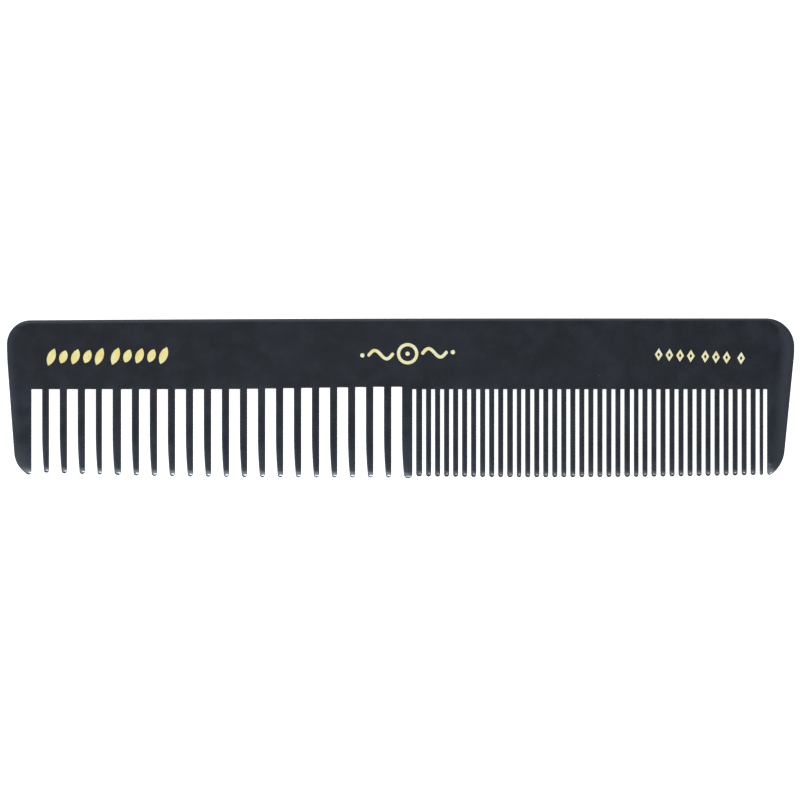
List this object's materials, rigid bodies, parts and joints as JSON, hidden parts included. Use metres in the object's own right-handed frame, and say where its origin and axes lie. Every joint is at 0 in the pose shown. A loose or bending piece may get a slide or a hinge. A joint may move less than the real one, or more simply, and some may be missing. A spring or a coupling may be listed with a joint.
{
  "type": "hair comb",
  "caption": "Straight dressing comb with wide teeth at one end, fine teeth at the other and a broad flat spine with gold foil ornaments.",
  "frame": {"origin": "middle of the comb's overall box in X and Y, on the flat rear face that it lies on", "axes": "+X along the spine from the coarse end to the fine end, +Y from the tooth tips to the back edge, +Z out of the decorated front face"},
  "size_m": [0.18, 0.0366, 0.0045],
  "materials": {
    "black_resin": "polished black with a slight blue cast, faint mottling and buffing marks",
    "gold_foil": "pale gold hot-stamping foil with a fine grain"
  },
  "bodies": {
    "root": {"comb_body": "black_resin", "foil_leaf_1": "gold_foil", "foil_leaf_2": "gold_foil", "foil_leaf_3": "gold_foil", "foil_leaf_4": "gold_foil", "foil_leaf_5": "gold_foil", "foil_leaf_6": "gold_foil", "foil_leaf_7": "gold_foil", "foil_leaf_8": "gold_foil", "foil_leaf_9": "gold_foil", "foil_leaf_10": "gold_foil", "foil_ring": "gold_foil", "foil_ring_dot": "gold_foil", "foil_wave_coarse": "gold_foil", "foil_dot_coarse": "gold_foil", "foil_wave_fine": "gold_foil", "foil_dot_fine": "gold_foil", "foil_lozenge_1": "gold_foil", "foil_lozenge_2": "gold_foil", "foil_lozenge_3": "gold_foil", "foil_lozenge_4": "gold_foil", "foil_lozenge_5": "gold_foil", "foil_lozenge_6": "gold_foil", "foil_lozenge_7": "gold_foil", "foil_lozenge_8": "gold_foil"}
  },
  "joints": []
}
